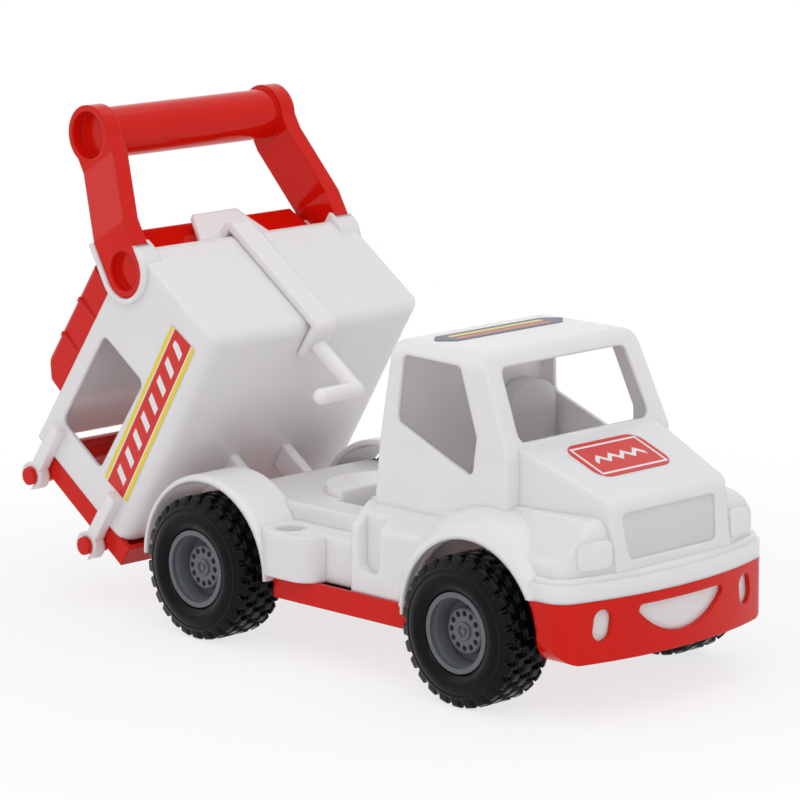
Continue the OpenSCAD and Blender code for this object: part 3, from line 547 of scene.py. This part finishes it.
def make_floor(colour):
    """Flat square floor of matt white paper, which fades to pure white away from the truck."""
    s = np.linspace(-FLOOR_HALF, FLOOR_HALF, FLOOR_STEPS)
    x, y = np.meshgrid(s, s, indexing="ij")
    floor = grid_mesh("studio_floor", np.stack([x, y, np.zeros_like(x)], axis=-1))
    # Paper: dull, with fibre clumps of 4 mm, coarser than real so that they show
    material, tree, shader = new_material("paper sweep, matt white")
    place = node(tree, "ShaderNodeTexCoord").outputs["Object"]
    fibre = node(tree, "ShaderNodeTexNoise", [("Vector", place)], Scale=1 / (4 * MM))
    bump = node(tree, "ShaderNodeBump", [("Height", fibre.outputs["Fac"])], Strength=0.02)
    tree.links.new(bump.outputs[0], shader.inputs["Normal"])
    shader.inputs["Base Color"].default_value = linear(colour)
    shader.inputs["Roughness"].default_value = 0.9
    away = node(tree, "ShaderNodeVectorMath", [(0, place)], operation="LENGTH")
    fade = node(
        tree, "ShaderNodeMapRange", [("Value", away.outputs["Value"])], interpolation_type="SMOOTHSTEP",
        From_Min=0.2, From_Max=0.6, To_Min=0.75,
    )
    seen = node(
        tree, "ShaderNodeMath", [(0, fade.outputs[0]), (1, background_rays(tree))], operation="MULTIPLY"
    )
    glow = node(tree, "ShaderNodeEmission", Color=(1, 1, 1, 1), Strength=1.0)
    mix = node(
        tree, "ShaderNodeMixShader", [(0, seen.outputs[0]), (1, shader.outputs[0]), (2, glow.outputs[0])]
    )
    end = next(item for item in tree.nodes if item.type == "OUTPUT_MATERIAL")
    tree.links.new(mix.outputs[0], end.inputs["Surface"])
    floor.data.materials.append(material)


def make_world(scene):
    """White world: pure white where it is seen, and weaker as a source of light."""
    world = bpy.data.worlds.new("studio")
    world.use_nodes = True
    scene.world = world
    tree = world.node_tree
    tree.nodes.clear()
    seen = node(tree, "ShaderNodeBackground", Color=(1, 1, 1, 1), Strength=1.0)
    glow = node(tree, "ShaderNodeBackground", Color=(1, 1, 1, 1), Strength=0.62)
    mix = node(
        tree, "ShaderNodeMixShader", [(0, background_rays(tree)), (1, glow.outputs[0]), (2, seen.outputs[0])]
    )
    node(tree, "ShaderNodeOutputWorld", [("Surface", mix.outputs[0])])


def make_lamps(scene):
    """Square area lamps, all turned to one point of the truck."""
    for name, place, size, power in LAMPS:
        lamp = bpy.data.lights.new(name, "AREA")
        lamp.size = size
        lamp.energy = power
        holder = bpy.data.objects.new(name, lamp)
        scene.collection.objects.link(holder)
        holder.location = place
        holder.rotation_mode = "QUATERNION"
        holder.rotation_quaternion = (Vector(LAMP_AIM) - Vector(place)).to_track_quat("-Z", "Y")


def make_camera(scene):
    """Camera on a line from its target, at an azimuth and an elevation, with a slight roll."""
    azimuth, elevation, roll = (math.radians(angle) for angle in CAMERA_ANGLES)
    level = Vector((math.cos(azimuth), math.sin(azimuth), 0))
    flat = math.cos(elevation)
    back = Vector((math.sin(azimuth) * flat, -math.cos(azimuth) * flat, math.sin(elevation)))
    upright = back.cross(level)
    right = math.cos(roll) * level + math.sin(roll) * upright
    up = math.cos(roll) * upright - math.sin(roll) * level
    lens = bpy.data.cameras.new("studio camera")
    lens.sensor_width = SENSOR_MM
    lens.lens = FOCAL_PX * SENSOR_MM / PICTURE_PX
    lens.clip_end = 50
    holder = bpy.data.objects.new("studio camera", lens)
    scene.collection.objects.link(holder)
    turn = Matrix((right, up, back)).transposed().to_4x4()
    holder.matrix_world = Matrix.Translation(Vector(CAMERA_TARGET) + back * CAMERA_DISTANCE) @ turn
    scene.camera = holder


class OBJECT_OT_truck_stage(bpy.types.Operator):
    """Sets the floor, the lamps, the world and the camera."""

    bl_idname = "object.truck_stage"
    bl_label = "Studio"

    def execute(self, context):
        scene = context.scene
        scene.view_settings.view_transform = "Standard"
        make_floor(scene.truck_colours.floor)
        make_world(scene)
        make_lamps(scene)
        make_camera(scene)
        return {"FINISHED"}


OPERATORS = (
    OBJECT_OT_truck_shell,
    OBJECT_OT_truck_red,
    OBJECT_OT_truck_wheels,
    OBJECT_OT_truck_labels,
    OBJECT_OT_truck_stage,
)


class VIEW3D_PT_truck(bpy.types.Panel):
    """Lists the truck's operators and settings."""

    bl_label = "Toy Truck"
    bl_idname = "VIEW3D_PT_truck"
    bl_space_type = "VIEW_3D"
    bl_region_type = "UI"
    bl_category = "Toy Truck"

    def draw(self, context):
        for group in (context.scene.truck_sizes, context.scene.truck_colours):
            for name in group.bl_rna.properties.keys():
                if name not in ("rna_type", "name"):
                    self.layout.prop(group, name)
        for operator in OPERATORS:
            self.layout.operator(operator.bl_idname)


CLASSES = (TruckSizes, TruckColours, *OPERATORS, VIEW3D_PT_truck)


def register():
    for item in CLASSES:
        bpy.utils.register_class(item)
    bpy.types.Scene.truck_sizes = bpy.props.PointerProperty(type=TruckSizes)
    bpy.types.Scene.truck_colours = bpy.props.PointerProperty(type=TruckColours)


def unregister():
    del bpy.types.Scene.truck_colours
    del bpy.types.Scene.truck_sizes
    for item in reversed(CLASSES):
        bpy.utils.unregister_class(item)


def main():
    register()
    bpy.ops.object.truck_shell()
    bpy.ops.object.truck_red()
    bpy.ops.object.truck_wheels()
    bpy.ops.object.truck_labels()
    bpy.ops.object.truck_stage()


if __name__ == "__main__":
    main()
